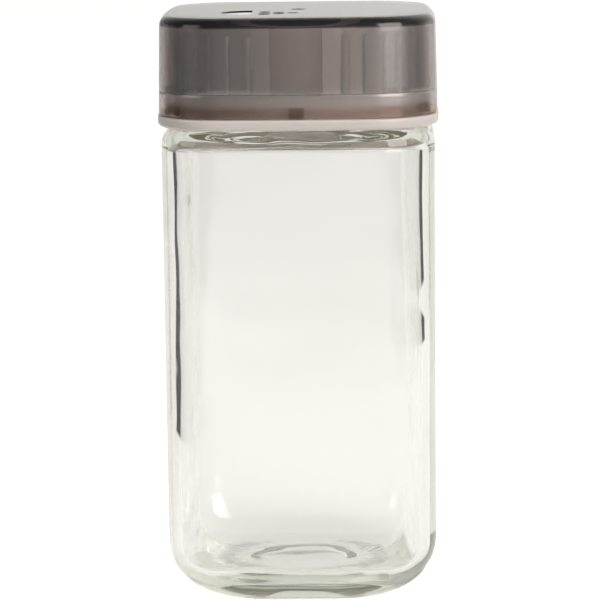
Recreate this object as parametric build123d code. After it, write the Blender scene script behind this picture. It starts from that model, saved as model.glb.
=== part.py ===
from build123d import *
import math
import os

# Square glass spice jar with a screw-on shaker closure and a dial cap that turns on it.
# Millimetres, +Z up, the front faces -Y. The origin is the centre of the jar's foot.

# Glass body
glass_setback = 0.6
glass_side_radius = 500.0
glass_corner_radius = 9.2
glass_wall = 2.3
shoulder_height = 79.35
shoulder_radius = 2.5
inner_shoulder_radius = 1.5
crown_thickness = 2.1
heel_radius = 11.4
foot_corner_share = 0.73
floor_thickness = 5.0
inner_heel_radius = 5.6

# Push-up in the middle of the foot, inside a flat bearing band
bearing_band = 1.6
punt_slope_width = 3.2
punt_depth = 1.8

# Round neck and its finish
neck_height = 14.2
neck_wall = 2.2
rim_bevel = 0.6
neck_root_flare = 0.6
bead_rise = 0.65
bead_depth = 0.9
bead_height = 1.2
bead_bevel_share = 0.4

# Screw thread, one start, right-handed
thread_lead = 4.23
thread_depth = 1.1
thread_root_width = 2.2
thread_crest_width = 1.0
thread_turns = 1.25
thread_drop = 2.3
thread_overlap = 0.4
thread_side_gap = 0.3
thread_crest_gap = 0.4

# Soft sealing ring that lies on the rim
liner_thickness = 1.0
liner_gap = 0.05
liner_margin = 0.2

# Shaker base: threaded collar, square flange and windowed plate in one moulding
collar_wall = 1.4
plate_thickness = 1.2
plate_edge_bevel = 0.4
flange_thickness = 1.75
flange_overhang = 0.15
flange_edge_bevel = 0.6
flange_lip = 1.6
flange_recess = 0.55
flange_gap = 0.3
ridge_turns = 1.0
ridge_start_angle = -90.0
ridge_root_width = 1.5
ridge_crest_width = 0.8
window_margin = 1.1
window_corner_radius = 0.8
groove_depth = 0.5
stop_width = 2.0
stop_height = 1.5

# Dial cap
dial_width = 46.0
dial_side_radius = 200.0
dial_corner_radius = 11.2
dial_draft = 0.37
dial_edge_radius = 1.6
dial_wall = 1.4
dial_top_thickness = 1.5
skirt_wall = 0.9
skirt_height = 3.85
dial_gap = 0.15
ride_clearance = 0.15
sleeve_wall = 1.15
sleeve_drop = 0.45
pad_width = 8.3
snap_height = 0.8
snap_depth = 0.45
snap_clearance = 0.15
rib_width = 0.9
rib_height = 0.5
rib_head_drop = 1.2
rib_pitch_angle = 10.0
first_rib_angle = 21.2
ribs_each_way = 3
lug_width = 2.4
lug_height = 1.65
lug_clearance = 0.4
stop_clearance = 0.15
gate_radius = 1.25
gate_depth = 0.35

# Openings in the dial's top, seen from above with the dial closed. Places and pitches are
# shares of the neck's bore, because both openings have to lie inside it.
pour_radius_share = 0.322
pour_centre_shares = (-0.493, -0.507)
hole_radius = 0.85
hole_first_shares = (-0.349, -0.605)
hole_column_share = 0.151
hole_row_share = 0.191
hole_columns = 3

# Alignments of the building blocks
on_floor = (Align.CENTER, Align.CENTER, Align.MIN)
along_x = (Align.MIN, Align.CENTER, Align.MIN)

# One overrun for every cut, the quarter turn between the dial's positions, and the number of
# steps in which a section draws in along a rounded end
overrun = 1.0
quarter_turn = 90.0
curl_step_count = 3
heel_step_count = 8

# Radii, worked out from the dial's width inwards
dial_half = dial_width / 2
glass_half = dial_half - glass_setback
sleeve_radius = dial_half - dial_wall - sleeve_wall
collar_radius = sleeve_radius - ride_clearance
collar_bore = collar_radius - collar_wall
neck_radius = collar_bore - thread_crest_gap - thread_depth
bore_radius = neck_radius - neck_wall
ridge_radius = neck_radius + thread_crest_gap
snap_radius = sleeve_radius - snap_depth
groove_radius = collar_radius - groove_depth
lug_radius = collar_radius + lug_clearance
stop_radius = dial_half - skirt_wall - lug_clearance
foot_half = glass_half - heel_radius
punt_radius = foot_half - bearing_band
pour_radius = bore_radius * pour_radius_share

# Heights, worked out from the foot upwards
cavity_top = shoulder_height - crown_thickness
rim_height = shoulder_height + neck_height
thread_start = rim_height - thread_drop - thread_lead * thread_turns
plate_bottom = rim_height + liner_gap + liner_thickness + liner_gap
plate_top = plate_bottom + plate_thickness
flange_bottom = shoulder_height + flange_gap
flange_top = flange_bottom + flange_thickness
dial_bottom = flange_top + dial_gap
dial_ceiling = plate_top + dial_gap
total_height = dial_ceiling + dial_top_thickness
skirt_top = dial_bottom + skirt_height
sleeve_bottom = skirt_top - sleeve_drop


def rounded_square(half_width, corner_radius, side_radius):
    """Plan outline with four slightly bowed sides that run tangent into round corners."""
    bow = side_radius - half_width
    reach = side_radius - corner_radius
    knee = (math.sqrt(2 * reach**2 - bow**2) - bow) / 2
    side_end = knee * side_radius / reach
    side_level = (knee + bow) * side_radius / reach - bow
    corner_mid = knee + corner_radius * math.sqrt(0.5)
    side = ThreePointArc((-side_end, side_level), (0, half_width), (side_end, side_level))
    corner = ThreePointArc((side_end, side_level), (corner_mid, corner_mid), (side_level, side_end))
    outline = [Rot(0, 0, -90 * n) * edge for n in range(4) for edge in (side, corner)]
    return make_face(outline)


def glass_plan(inset=0):
    """Plan of the glass body, drawn in by an even inset."""
    return rounded_square(glass_half - inset, glass_corner_radius - inset, glass_side_radius - inset)


def heel_plan(inset=0):
    """Plan of the glass where it curls in to the foot, whose corners stay round."""
    foot_corner = foot_half * foot_corner_share
    corner = glass_corner_radius - (glass_corner_radius - foot_corner) * inset / heel_radius
    return rounded_square(glass_half - inset, corner, glass_side_radius)


def dial_plan(inset=0):
    """Plan of the dial cap at its foot, drawn in by an even inset."""
    return rounded_square(dial_half - inset, dial_corner_radius - inset, dial_side_radius - inset)


def dial_top_plan(inset=0):
    """Plan of the dial cap where its top edge starts, drawn in by an even inset."""
    return dial_plan(inset + draft_at(total_height - dial_edge_radius))


def draft_at(height):
    """How far the dial's sides have drawn in at a height."""
    return dial_draft * (height - dial_bottom) / (total_height - dial_bottom)


def dial_block(inset, low, high):
    """Drafted block of the dial's plan between two heights, drawn in by an even inset."""
    low_plan = dial_plan(inset + draft_at(low))
    high_plan = dial_plan(inset + draft_at(high))
    return loft([Pos(0, 0, low) * low_plan, Pos(0, 0, high) * high_plan], ruled=True)


def curl(plan, radius, end_height, way, step_count=curl_step_count, inset=0):
    """Rounded end of a block, whose plan draws in through a quarter circle to end_height."""
    sections = []
    for step in range(step_count + 1):
        angle = math.radians(90 * step / step_count)
        height = end_height + way * radius * (1 - math.cos(angle))
        sections.append(Pos(0, 0, height) * plan(inset + radius * (1 - math.sin(angle))))
    return loft(sections[::way], ruled=True)


def disc(radius, low, high):
    """Round bar about the jar's axis between two heights."""
    return extrude(Pos(0, 0, low) * Circle(radius), high - low)


def ring(outer, inner, low, high):
    """Round tube about the jar's axis between two heights."""
    return disc(outer, low, high) - disc(inner, low - overrun, high + overrun)


def thread(root_radius, depth, root_width, crest_width, turns, start_height):
    """Helical rib on a wall of root_radius. A negative depth points it inwards."""
    path = Helix(thread_lead, thread_lead * turns, root_radius)
    sink = math.copysign(thread_overlap, depth)
    flank = (root_width - crest_width) / 2 / abs(depth)
    foot = root_width / 2 + flank * thread_overlap
    profile = Polygon(
        (-sink, -foot), (depth, -crest_width / 2), (depth, crest_width / 2), (-sink, foot),
        align=None,
    )
    frame = Plane(origin=(root_radius, 0, 0), x_dir=(1, 0, 0), z_dir=(0, -1, 0))
    return Pos(0, 0, start_height) * sweep(frame * profile, path=path, is_frenet=True)


def punt():
    """Shallow push-up that lifts the middle of the foot off the table."""
    return Cone(punt_radius, punt_radius - punt_slope_width, punt_depth, align=on_floor)


def neck():
    """Round neck with a flared root, its transfer bead and bevelled outer rim."""
    body = disc(neck_radius, shoulder_height - crown_thickness / 2, rim_height)
    body = chamfer(body.edges().sort_by(Axis.Z)[-1], rim_bevel)
    root = Cone(neck_radius + neck_root_flare, neck_radius, neck_root_flare, align=on_floor)
    bead_bottom = shoulder_height + bead_rise
    bead = disc(neck_radius + bead_depth, bead_bottom, bead_bottom + bead_height)
    bead = chamfer(bead.edges().filter_by(GeomType.CIRCLE), bead_height * bead_bevel_share)
    return body + Pos(0, 0, shoulder_height) * root + bead


def glass_jar():
    """Hollow glass body, neck and thread in one piece."""
    heel = curl(heel_plan, heel_radius, 0, 1, heel_step_count)
    barrel_height = shoulder_height - shoulder_radius - heel_radius
    barrel = extrude(Pos(0, 0, heel_radius) * glass_plan(), barrel_height)
    shoulder = curl(glass_plan, shoulder_radius, shoulder_height, -1)
    inner_low = floor_thickness + inner_heel_radius
    inner_high = cavity_top - inner_shoulder_radius
    cavity = extrude(Pos(0, 0, inner_low) * glass_plan(glass_wall), inner_high - inner_low)
    cavity += curl(glass_plan, inner_heel_radius, floor_thickness, 1, inset=glass_wall)
    cavity += curl(glass_plan, inner_shoulder_radius, cavity_top, -1, inset=glass_wall)
    bore = disc(bore_radius, cavity_top - overrun, rim_height + overrun)
    body = heel + barrel + shoulder + neck() - cavity - bore - punt()
    return body + thread(
        neck_radius, thread_depth, thread_root_width, thread_crest_width, thread_turns, thread_start
    )


def seal_liner():
    """Soft ring squeezed between the glass rim and the shaker plate."""
    low = rim_height + liner_gap
    return ring(neck_radius - liner_margin, bore_radius + liner_margin, low, low + liner_thickness)


def pour_shape(margin):
    """Half-round outline of the pour opening, grown by a margin on every side."""
    radius = pour_radius + margin
    straight_side = Pos(margin - radius, 0) * Rectangle(2 * radius, 2 * radius)
    half_round = Circle(radius) & straight_side
    return Pos(*[share * bore_radius for share in pour_centre_shares]) * half_round


def hole_places():
    """Centres of the sprinkle holes: columns that lose one hole each towards the middle."""
    first_x, first_y = (share * bore_radius for share in hole_first_shares)
    for column in range(hole_columns):
        rows = hole_columns - column
        for row in range(rows):
            x = first_x + column * hole_column_share * bore_radius
            y = first_y + (row - (rows - 1) / 2) * hole_row_share * bore_radius
            yield x, y


def sprinkle_shape(margin):
    """Rounded outline round the field of sprinkle holes, grown by a margin."""
    xs, ys = zip(*hole_places())
    wide = max(xs) - min(xs) + 2 * (hole_radius + margin)
    deep = max(ys) - min(ys) + 2 * (hole_radius + margin)
    centre = ((max(xs) + min(xs)) / 2, (max(ys) + min(ys)) / 2)
    return Pos(*centre) * RectangleRounded(wide, deep, window_corner_radius)


def window(shape, turn):
    """Cutter for a plate window, seen where the dial's opening lies after a turn."""
    outline = Rot(0, 0, turn) * shape & Circle(bore_radius - liner_margin)
    return extrude(Pos(0, 0, plate_bottom - overrun) * outline, plate_thickness + 2 * overrun)


def flange():
    """Square skirt ring of the shaker base, rounded below and hollowed underneath."""
    body = extrude(Pos(0, 0, flange_bottom) * dial_plan(-flange_overhang), flange_thickness)
    body = chamfer(body.edges().group_by(Axis.Z)[0], flange_edge_bevel)
    hollow = dial_plan(flange_lip - flange_overhang) - Circle(collar_radius)
    return body - extrude(Pos(0, 0, flange_bottom - overrun) * hollow, overrun + flange_recess)


def stop_blocks():
    """Two blocks on the collar that end the dial's turn a quarter to each side."""
    low_x = collar_bore + collar_wall / 2
    low_y = lug_width / 2 + stop_clearance
    block = Box(stop_radius - low_x, stop_width, stop_height, align=Align.MIN)
    block = Pos(low_x, low_y, flange_top) * block & disc(stop_radius, flange_top, flange_top + stop_height)
    return block + mirror(block, about=Plane.YZ)


def shaker_base():
    """Threaded collar with its square flange, windowed plate, snap groove and dial stops."""
    collar = disc(collar_radius, flange_bottom, plate_top)
    collar = chamfer(collar.edges().sort_by(Axis.Z)[-1], plate_edge_bevel)
    groove_low = sleeve_bottom - snap_clearance
    groove_high = sleeve_bottom + snap_height + snap_clearance
    groove = ring(collar_radius + overrun, groove_radius, groove_low, groove_high)
    body = flange() + collar + stop_blocks()
    body = body - disc(collar_bore, flange_bottom - overrun, plate_bottom) - groove
    body = body - window(pour_shape(window_margin), quarter_turn)
    body = body - window(sprinkle_shape(window_margin / 2), -quarter_turn)
    ridge_drop = (thread_root_width + ridge_crest_width) / 2 + thread_side_gap
    ridge_start = thread_start - ridge_drop + thread_lead * ridge_start_angle / 360
    ridge = thread(
        collar_bore, ridge_radius - collar_bore, ridge_root_width, ridge_crest_width, ridge_turns,
        ridge_start,
    )
    return body + Rot(0, 0, ridge_start_angle) * ridge


def dial_inside():
    """Round sleeve that rides on the collar, with its snap bead, its ribs and four pads."""
    outer = sleeve_radius + sleeve_wall
    sleeve = ring(outer, sleeve_radius, sleeve_bottom, dial_ceiling)
    bead = ring(sleeve_radius + sleeve_wall / 2, snap_radius, sleeve_bottom, sleeve_bottom + snap_height)
    bead = chamfer(bead.edges().filter_by(GeomType.CIRCLE).sort_by(SortBy.RADIUS)[:2], snap_depth / 2)
    sleeve_middle = sleeve_radius + sleeve_wall / 2
    rib_top = dial_ceiling - rib_head_drop
    rib = Box(outer + rib_height - sleeve_middle, rib_width, rib_top - sleeve_bottom, align=along_x)
    pad = Box(dial_width, pad_width, dial_ceiling - sleeve_bottom, align=along_x)
    pads = Part()
    ribs = Part()
    for side in range(4):
        face_angle = 90 * side
        pads += Rot(0, 0, face_angle) * Pos(0, 0, sleeve_bottom) * pad
        for n in range(ribs_each_way):
            for way in (-1, 1):
                angle = face_angle + way * (first_rib_angle + n * rib_pitch_angle)
                ribs += Rot(0, 0, angle) * Pos(sleeve_middle, 0, sleeve_bottom) * rib
    room = dial_block(dial_wall / 2, sleeve_bottom, dial_ceiling) - disc(
        sleeve_middle, sleeve_bottom - overrun, dial_ceiling + overrun
    )
    return sleeve + bead + ribs + (pads & room)


def dial_cap():
    """Square dial that turns on the collar to close, sprinkle or pour."""
    shell = dial_block(0, dial_bottom, total_height - dial_edge_radius)
    shell += curl(dial_top_plan, dial_edge_radius, total_height, -1)
    shell = shell - dial_block(dial_wall, skirt_top - overrun, dial_ceiling)
    shell = shell - dial_block(skirt_wall, dial_bottom - overrun, skirt_top)
    lug_depth = dial_half - skirt_wall / 2 - lug_radius
    lug = Box(lug_width, lug_depth, lug_height, align=(Align.CENTER, Align.MAX, Align.MIN))
    body = shell + dial_inside() + Pos(0, -lug_radius, dial_bottom) * lug
    openings = pour_shape(0) + [Pos(x, y) * Circle(hole_radius) for x, y in hole_places()]
    body = body - extrude(Pos(0, 0, dial_ceiling - overrun) * openings, dial_top_thickness + 2 * overrun)
    return body - disc(gate_radius, total_height - gate_depth, total_height + overrun)


if __name__ == "__main__":
    os.makedirs("parts", exist_ok=True)
    for make in (glass_jar, seal_liner, shaker_base, dial_cap):
        export_step(make(), f"parts/{make.__name__}.step")
    print("total height", round(total_height, 2))
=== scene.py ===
"""Square glass spice jar with a white shaker closure and a smoke-tinted dial cap."""

import math
from collections import namedtuple

import bmesh
import bpy
from bpy.props import FloatProperty, FloatVectorProperty, IntProperty, PointerProperty
from mathutils import Matrix, Vector, noise


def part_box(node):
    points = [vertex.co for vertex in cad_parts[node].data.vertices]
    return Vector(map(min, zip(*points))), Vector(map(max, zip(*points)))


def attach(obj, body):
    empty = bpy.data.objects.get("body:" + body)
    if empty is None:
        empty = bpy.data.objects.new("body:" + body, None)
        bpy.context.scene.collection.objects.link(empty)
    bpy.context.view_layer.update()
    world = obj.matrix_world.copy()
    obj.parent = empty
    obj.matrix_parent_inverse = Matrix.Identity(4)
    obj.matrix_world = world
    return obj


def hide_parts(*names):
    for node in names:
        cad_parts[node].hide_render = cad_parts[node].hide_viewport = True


bl_info = {
    "name": "Spice Jar",
    "version": (1, 0, 0),
    "blender": (4, 5, 0),
    "location": "View3D > Sidebar > Spice Jar",
    "description": "Builds a square glass spice jar with its shaker closure and dial cap",
    "category": "Add Mesh",
}

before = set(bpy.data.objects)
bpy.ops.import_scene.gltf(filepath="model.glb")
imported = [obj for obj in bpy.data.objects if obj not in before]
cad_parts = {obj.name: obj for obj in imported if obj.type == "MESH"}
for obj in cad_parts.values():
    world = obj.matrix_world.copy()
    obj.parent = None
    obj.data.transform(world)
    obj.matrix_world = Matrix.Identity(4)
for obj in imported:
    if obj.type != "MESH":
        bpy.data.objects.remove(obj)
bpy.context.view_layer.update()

MM = 0.001

# Corners of the boxes round the CAD pieces, at rest
jar_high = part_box("glass_jar")[1]
liner_low, liner_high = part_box("seal_liner")
base_low, base_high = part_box("shaker_base")
dial_low, dial_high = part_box("dial_cap")

# How near a vertex is to the wall that it lies on
NEAR = 0.01 * MM

# Openings in the dial's top, seen from above with the dial at rest
POUR_CENTRE = Vector((-7.5 * MM, -7.7 * MM))
POUR_RADIUS = 4.9 * MM
FIRST_HOLE = Vector((-5.3 * MM, -9.2 * MM))
HOLE_RADIUS = 0.85 * MM
HOLE_COLUMNS = 3
COLUMN_PITCH = 2.3 * MM
ROW_PITCH = 2.9 * MM

# Shapes


# One ring of a turned piece: half its width across the flats, its height, the radius of its
# corners in plan, and how square it is, from 0 for round to 1 for the full plan.
Ring = namedtuple("Ring", "half height corner square")


def mix(start, end, share):
    """Value part of the way from one number to another."""
    return start + (end - start) * share


def ease(share):
    """Smooth step from 0 to 1."""
    share = min(max(share, 0.0), 1.0)
    return share * share * (3 - 2 * share)


def slowing(share):
    """Quarter wave from 0 to 1 that slows down."""
    return math.sin(share * math.pi / 2)


def speeding(share):
    """Quarter wave from 0 to 1 that speeds up."""
    return 1 - math.cos(share * math.pi / 2)


def plan_reach(angle, half, corner, side_radius):
    """Distance from the axis to a bowed square's outline in a direction."""
    quarter = math.pi / 2
    turn = abs((angle + quarter / 2) % quarter - quarter / 2)
    bow = side_radius - half
    reach = side_radius - corner
    knee = (math.sqrt(2 * reach**2 - bow**2) - bow) / 2
    side_end = knee * side_radius / reach
    side_level = (knee + bow) * side_radius / reach - bow
    if math.tan(turn) <= side_end / side_level:
        return math.sqrt(side_radius**2 - (bow * math.sin(turn)) ** 2) - bow * math.cos(turn)
    along = knee * (math.sin(turn) + math.cos(turn))
    return along + math.sqrt(max(along**2 - 2 * knee**2 + corner**2, 0.0))


class Profile:
    """Half section of a turned piece, drawn ring by ring."""

    def __init__(self, half, height):
        self.rings = [Ring(half, height, 0.0, 0.0)]

    def add(self, end, steps, across, along):
        """Run to a ring, whose width and height follow two functions of the step."""
        start = self.rings[-1]
        for step in range(1, steps):
            x, z = across(step / steps), along(step / steps)
            self.rings.append(Ring(
                mix(start.half, end.half, x), mix(start.height, end.height, z),
                mix(start.corner, end.corner, x), mix(start.square, end.square, x),
            ))
        self.rings.append(end)

    def line(self, half, height, corner=0.0, square=0.0, steps=1):
        """Straight run to a ring."""
        self.add(Ring(half, height, corner, square), steps, lambda t: t, lambda t: t)

    def slope(self, half, height, steps):
        """Run that leaves and arrives level, like a soft step."""
        self.add(Ring(half, height, 0.0, 0.0), steps, lambda t: t, ease)

    def round_out(self, half, height, corner=0.0, square=0.0, steps=6):
        """Quarter round that starts level and ends upright."""
        self.add(Ring(half, height, corner, square), steps, slowing, speeding)

    def round_up(self, half, height, corner=0.0, square=0.0, steps=6):
        """Quarter round that starts upright and ends level."""
        self.add(Ring(half, height, corner, square), steps, speeding, slowing)


def axis_distance(place):
    """Distance of a place from the upright axis."""
    return math.hypot(place.x, place.y)


def draw_out(vert, stretch):
    """Moves a vertex to a multiple of its distance from the axis."""
    vert.co.x *= stretch
    vert.co.y *= stretch


def turn_profile(rings, steps, side_radius=None):
    """Closed bmesh from a profile turned round the axis, with its square rings drawn out."""
    weld = 0.002 * MM
    mesh = bmesh.new()
    corner_layer = mesh.verts.layers.float.new("corner")
    square_layer = mesh.verts.layers.float.new("square")
    line = []
    for ring in rings:
        vert = mesh.verts.new((ring.half, 0.0, ring.height))
        vert[corner_layer] = ring.corner
        vert[square_layer] = ring.square
        line.append(vert)
    edges = [mesh.edges.new(pair) for pair in zip(line, line[1:])]
    bmesh.ops.spin(
        mesh, geom=line + edges, cent=(0, 0, 0), axis=(0, 0, 1), dvec=(0, 0, 0),
        angle=2 * math.pi, steps=steps, use_merge=True, use_duplicate=False,
    )
    bmesh.ops.remove_doubles(mesh, verts=mesh.verts, dist=weld)
    widest = max(ring.half for ring in rings)
    for vert in mesh.verts:
        square = vert[square_layer]
        half = axis_distance(vert.co)
        if square > 0.0 and half > 0.0:
            angle = math.atan2(vert.co.y, vert.co.x)
            inset_radius = side_radius - (widest - half)
            reach = plan_reach(angle, half, vert[corner_layer], inset_radius)
            draw_out(vert, mix(1.0, reach / half, square))
    bmesh.ops.recalc_face_normals(mesh, faces=mesh.faces)
    return mesh


def thread_relief(angle, height, start, lead, turns, root_width, crest_width):
    """Height of a helical rib at a point of its wall, from 0 at the root to 1 on the crest."""
    turn = angle / (2 * math.pi)
    along = turn + round((height - start) / lead - turn)
    away = abs(height - start - along * lead)
    flank = (root_width - crest_width) / 2
    rib = ease((root_width / 2 - away) / flank)
    run_in = 0.05
    begun, left = (along + run_in) / (2 * run_in), (turns + run_in - along) / (2 * run_in)
    return rib * ease(begun) * ease(left)


def raise_helix(mesh, wall, low, first_angle, depth, *thread):
    """Draws a helical rib out of a round wall above a height, or inwards by a negative depth."""
    for vert in mesh.verts:
        reach = axis_distance(vert.co)
        if abs(reach - wall) < NEAR and vert.co.z > low:
            angle = math.atan2(vert.co.y, vert.co.x) - first_angle
            draw_out(vert, 1 + thread_relief(angle, vert.co.z, *thread) * depth / reach)


def shade_smooth(piece, sharp_from=40.0):
    """Smooth shading, with sharp edges where faces meet at more than an angle in degrees."""
    piece.data.shade_smooth()
    piece.data.set_sharp_from_angle(angle=math.radians(sharp_from))


def new_piece(name, mesh, sharp_from=40.0):
    """Object from a bmesh, with smooth shading."""
    data = bpy.data.meshes.new(name)
    mesh.to_mesh(data)
    mesh.free()
    piece = bpy.data.objects.new(name, data)
    bpy.context.collection.objects.link(piece)
    shade_smooth(piece, sharp_from)
    return piece


def combine(piece, tool_mesh, operation):
    """Joins or cuts a piece with a tool shape, and leaves a plain mesh."""
    tool = new_piece("tool", tool_mesh)
    change = piece.modifiers.new("combine", "BOOLEAN")
    change.operation = operation
    change.solver = "EXACT"
    change.object = tool
    depsgraph = bpy.context.evaluated_depsgraph_get()
    result = bpy.data.meshes.new_from_object(piece.evaluated_get(depsgraph))
    piece.modifiers.clear()
    old = piece.data
    piece.data = result
    tool_data = tool.data
    bpy.data.objects.remove(tool)
    for spent in (old, tool_data):
        bpy.data.meshes.remove(spent)
    if not piece.data.polygons:
        raise RuntimeError(f"{piece.name} came out empty")


def grow(verts, centre, distance):
    """Moves corners away from a centre in plan by a distance."""
    for vert in verts:
        away = Vector((vert.co.x - centre.x, vert.co.y - centre.y)).normalized() * distance
        vert.co.x += away.x
        vert.co.y += away.y


def prism(outline, low, high, flare=0.0):
    """Upright prism over an outline of points, flared at both ends to soften the cut's edges."""
    mesh = bmesh.new()
    centre = sum(outline, Vector((0, 0))) / len(outline)
    levels = [(low, flare), (high, flare)]
    if flare:
        levels[1:1] = [(low + flare, 0.0), (high - flare, 0.0)]
    face = mesh.faces.new([mesh.verts.new((x, y, low)) for x, y in outline])
    grow(face.verts, centre, flare)
    for (_, from_flare), (height, to_flare) in zip(levels, levels[1:]):
        made = bmesh.ops.extrude_face_region(mesh, geom=[face])["geom"]
        top = [item for item in made if isinstance(item, bmesh.types.BMVert)]
        for vert in top:
            vert.co.z = height
        grow(top, centre, to_flare - from_flare)
        face = next(item for item in made if isinstance(item, bmesh.types.BMFace))
    bmesh.ops.recalc_face_normals(mesh, faces=mesh.faces)
    return mesh


def arc(centre, reach, first, sweep, steps):
    """Points along an arc whose reach is given each way, by angles in degrees."""
    angles = (math.radians(first + sweep * n / steps) for n in range(steps + 1))
    return [centre + reach * Vector((math.cos(angle), math.sin(angle))) for angle in angles]


def block(low, high, angle=0.0):
    """Box between two corners, turned round the axis."""
    mesh = bmesh.new()
    bmesh.ops.create_cube(mesh, size=1.0)
    bmesh.ops.scale(mesh, verts=mesh.verts, vec=high - low)
    bmesh.ops.translate(mesh, verts=mesh.verts, vec=(low + high) / 2)
    bmesh.ops.rotate(mesh, verts=mesh.verts, cent=(0, 0, 0), matrix=Matrix.Rotation(angle, 3, "Z"))
    return mesh


def merged(meshes):
    """One bmesh that holds several."""
    whole = bmesh.new()
    for mesh in meshes:
        data = bpy.data.meshes.new("part")
        mesh.to_mesh(data)
        mesh.free()
        whole.from_mesh(data)
        bpy.data.meshes.remove(data)
    return whole


# Sizes


def length(name, description, default):
    """Length that a user can change."""
    return FloatProperty(name=name, description=description, default=default, unit="LENGTH")


def rotation(name, description, default):
    """Angle that a user can change."""
    return FloatProperty(name=name, description=description, default=default, unit="ROTATION")


def amount(name, description, default):
    """Share or brightness that a user can change."""
    return FloatProperty(name=name, description=description, default=default, min=0)


def colour(name, description, default):
    """Colour that a user can change."""
    return FloatVectorProperty(
        name=name, description=description, default=default, subtype="COLOR", min=0, max=1)


class SPICE_PG_glass(bpy.types.PropertyGroup):
    """Sizes of the glass jar."""

    corner: length("Corner", "Radius of the body's upright corners", 9.2 * MM)
    side_radius: length("Side bow", "Radius of the faintly bowed sides", 500 * MM)
    wall: length("Wall", "Thickness of the side walls", 2.3 * MM)
    floor: length("Floor", "Thickness of the glass under the spice", 5.0 * MM)
    shoulder: length("Shoulder", "Height of the shoulder over the table", 79.35 * MM)
    shoulder_round: length("Shoulder round", "Radius of the shoulder's outer edge", 2.5 * MM)
    inner_shoulder_round: length("Inner shoulder round", "Radius inside the shoulder", 1.5 * MM)
    crown: length("Crown", "Thickness of the glass between shoulder and cavity", 2.1 * MM)
    heel: length("Heel", "Radius with which the sides curl in to the foot", 11.4 * MM)
    foot_corner: length("Foot corner", "Corner radius of the flat foot", 8.0 * MM)
    inner_heel: length("Inner heel", "Radius between the inner floor and walls", 5.6 * MM)
    punt: length("Push-up", "Radius of the push-up in the foot", 9.4 * MM)
    punt_top: length("Push-up top", "Radius of the push-up's level top", 6.2 * MM)
    punt_depth: length("Push-up depth", "Depth of the push-up", 1.8 * MM)
    neck: length("Neck", "Outer radius of the neck without its thread", 17.4 * MM)
    bore: length("Bore", "Inner radius of the neck", 15.2 * MM)
    lead: length("Lead", "Rise of the screw thread in one turn", 4.23 * MM)
    thread_turns: amount("Thread turns", "How many turns the neck's thread makes", 1.25)
    thread_drop: length("Thread drop", "How far the thread ends below the rim", 2.3 * MM)
    thread_depth: length("Thread depth", "How far the thread stands out", 1.1 * MM)
    ripple: length("Ripple", "Unevenness of the wall's inner face", 0.26 * MM)
    shoulder_ripple: length("Shoulder ripple", "Unevenness of the shoulder", 0.16 * MM)
    floor_ripple: length("Floor ripple", "Unevenness of the inner floor", 0.064 * MM)
    knurl: length("Knurl", "Height of the short bars under the foot", 0.16 * MM)
    tint: colour("Tint", "Colour that a thick piece of the glass lets through", (0.66, 0.72, 0.56))


class SPICE_PG_closure(bpy.types.PropertyGroup):
    """Sizes of the shaker closure and of its dial cap."""

    dial_corner: length("Dial corner", "Radius of the dial's upright corners", 11.2 * MM)
    dial_side_radius: length("Dial side bow", "Radius of the dial's bowed sides", 200 * MM)
    draft: length("Draft", "How far the dial's sides draw in towards the top", 0.37 * MM)
    dial_edge: length("Dial edge", "Radius of the dial's top edge", 1.6 * MM)
    dial_wall: length("Dial wall", "Thickness of the dial's side walls", 1.4 * MM)
    dial_top: length("Dial top", "Thickness of the dial's top", 1.5 * MM)
    skirt_wall: length("Skirt wall", "Thickness of the thin lower edge", 0.9 * MM)
    skirt: length("Skirt", "Height of the thin lower edge", 3.85 * MM)
    sleeve: length("Sleeve", "Inner radius of the sleeve that rides on the collar", 20.45 * MM)
    sleeve_wall: length("Sleeve wall", "Thickness of the sleeve", 1.15 * MM)
    sleeve_drop: length("Sleeve drop", "How far the sleeve hangs into the thin lower edge", 0.45 * MM)
    rib: length("Rib", "How far the round ribs stand out of the sleeve", 0.75 * MM)
    groove: length("Parting line", "Depth of the fine line round the dial", 0.05 * MM)
    pad: length("Pad", "Width of the pad in the middle of each side", 8.3 * MM)
    lug: length("Lug", "Width of the stop lug in front", 2.4 * MM)
    collar: length("Collar", "Outer radius of the white collar", 20.3 * MM)
    collar_bore: length("Collar bore", "Inner radius of the white collar", 18.9 * MM)
    flange: length("Flange", "Height of the square white ring", 1.75 * MM)
    flange_round: length("Flange round", "Radius of the ring's lower edge", 0.7 * MM)
    plate: length("Plate", "Thickness of the shaker plate", 1.2 * MM)
    smoke: colour("Smoke tint", "Colour that a thick piece of the dial lets through", (0.40, 0.29, 0.25))
    # Brown painted shade at the foot of the thin lower edge, where the square ring shades the collar behind
    # it.
    skirt_painted_shade: colour("Skirt tone", "Tone of the dial's thin lower edge", (0.80, 0.64, 0.54))
    white: colour("White", "Colour of the shaker closure", (0.58, 0.55, 0.53))


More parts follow.
